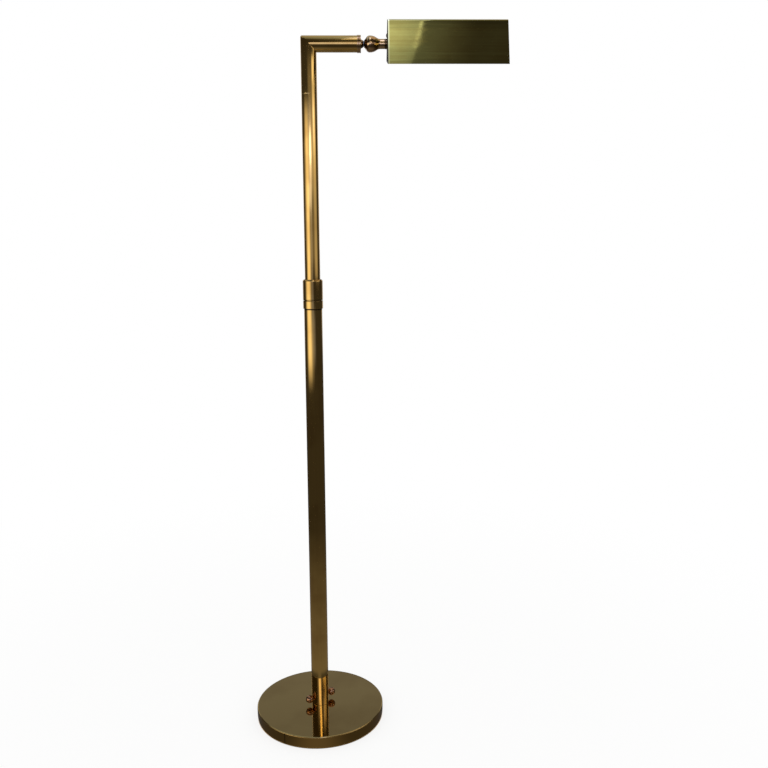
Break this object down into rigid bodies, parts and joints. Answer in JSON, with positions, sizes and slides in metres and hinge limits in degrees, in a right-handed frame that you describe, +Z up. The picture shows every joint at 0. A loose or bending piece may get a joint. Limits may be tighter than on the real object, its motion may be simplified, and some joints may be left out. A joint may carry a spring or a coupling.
{
  "type": "floor lamp",
  "caption": "Brass pharmacy floor lamp: round weighted base, telescoping pole with a twist collar, swivelling arm, trough shade that turns on a knuckle, and a toe switch.",
  "frame": {"origin": "centre of the underside of the base, on the floor", "axes": "+Z up along the pole, +X along the arm towards the shade, +Y out of the back"},
  "size_m": [0.4728, 0.252, 1.3172],
  "materials": {
    "tube_brass": "polished, aged, drawn lengthwise",
    "base_brass": "polished, aged, spun in rings",
    "collar_brass": "polished, turned",
    "knuckle_brass": "polished, tarnished reddish",
    "switch_brass": "polished, tarnished dark",
    "shade_brass": "brushed lengthwise under clear lacquer",
    "inner_brass": "plain",
    "plated_steel": "zinc plated",
    "cast_iron": "raw casting",
    "felt": "pressed felt",
    "porcelain": "glazed",
    "bulb_glass": "clear",
    "black_plastic": "moulded",
    "pale_plastic": "moulded",
    "lead_cover": "round covered lead"
  },
  "bodies": {
    "stand": {"base_cover": "base_brass", "base_weight": "cast_iron", "base_felt": "felt", "foot_pipe": "plated_steel", "foot_washer": "plated_steel", "foot_nut": "plated_steel", "foot_plug": "inner_brass", "cord_inlet_bush": "black_plastic", "lower_tube": "tube_brass", "collar_ring": "collar_brass", "clamp_collet": "inner_brass", "switch_body": "black_plastic", "switch_bushings": "switch_brass"},
    "foot_switch": {"switch_rod": "switch_brass", "switch_ball_front": "switch_brass", "switch_ball_rear": "switch_brass"},
    "collar": {"twist_collar": "collar_brass"},
    "glide": {"guide_bush": "pale_plastic"},
    "stem": {"upper_tube": "tube_brass", "stop_rings": "plated_steel", "lead_bush": "pale_plastic", "arm_tube": "tube_brass", "arm_end_plug": "knuckle_brass", "friction_washer": "black_plastic", "arm_lead": "lead_cover"},
    "head": {"pivot_pipe": "plated_steel", "spring_washer": "plated_steel", "pivot_nut": "plated_steel", "knuckle": "knuckle_brass", "neck_ring": "knuckle_brass", "shade_pipe": "plated_steel", "shade_roof": "shade_brass", "shade_end_inner": "shade_brass", "shade_end_outer": "shade_brass", "shade_stiffener": "plated_steel", "locating_screw": "knuckle_brass", "shade_lock_nut": "plated_steel", "holder_cap": "inner_brass", "holder_body": "porcelain", "holder_shell": "inner_brass", "holder_contact": "inner_brass", "holder_lead": "lead_cover", "bulb_cap": "plated_steel", "bulb_tip": "black_plastic", "bulb_glass": "bulb_glass", "bulb_stem": "bulb_glass", "bulb_filament": "plated_steel"}
  },
  "joints": [
    {"name": "switch_push", "type": "slide", "parent": "stand", "child": "foot_switch", "axis": [-0.8192, -0.5736, 0], "range_m": [0, 0.0015]},
    {"name": "collar_twist", "type": "hinge", "parent": "stand", "child": "collar", "pos_m": [0, 0, 0.8475], "axis": [0, 0, 1], "range_deg": [0, 120]},
    {"name": "stem_slide", "type": "slide", "parent": "stand", "child": "glide", "axis": [0, 0, 1], "range_m": [-0.38, 0.08]},
    {"name": "stem_swivel", "type": "hinge", "parent": "glide", "child": "stem", "pos_m": [0, 0, 0.855], "axis": [0, 0, 1], "range_deg": [-170, 170]},
    {"name": "shade_turn", "type": "hinge", "parent": "stem", "child": "head", "pos_m": [0.097, 0, 1.2762], "axis": [1, 0, 0], "range_deg": [-150, 130]}
  ]
}
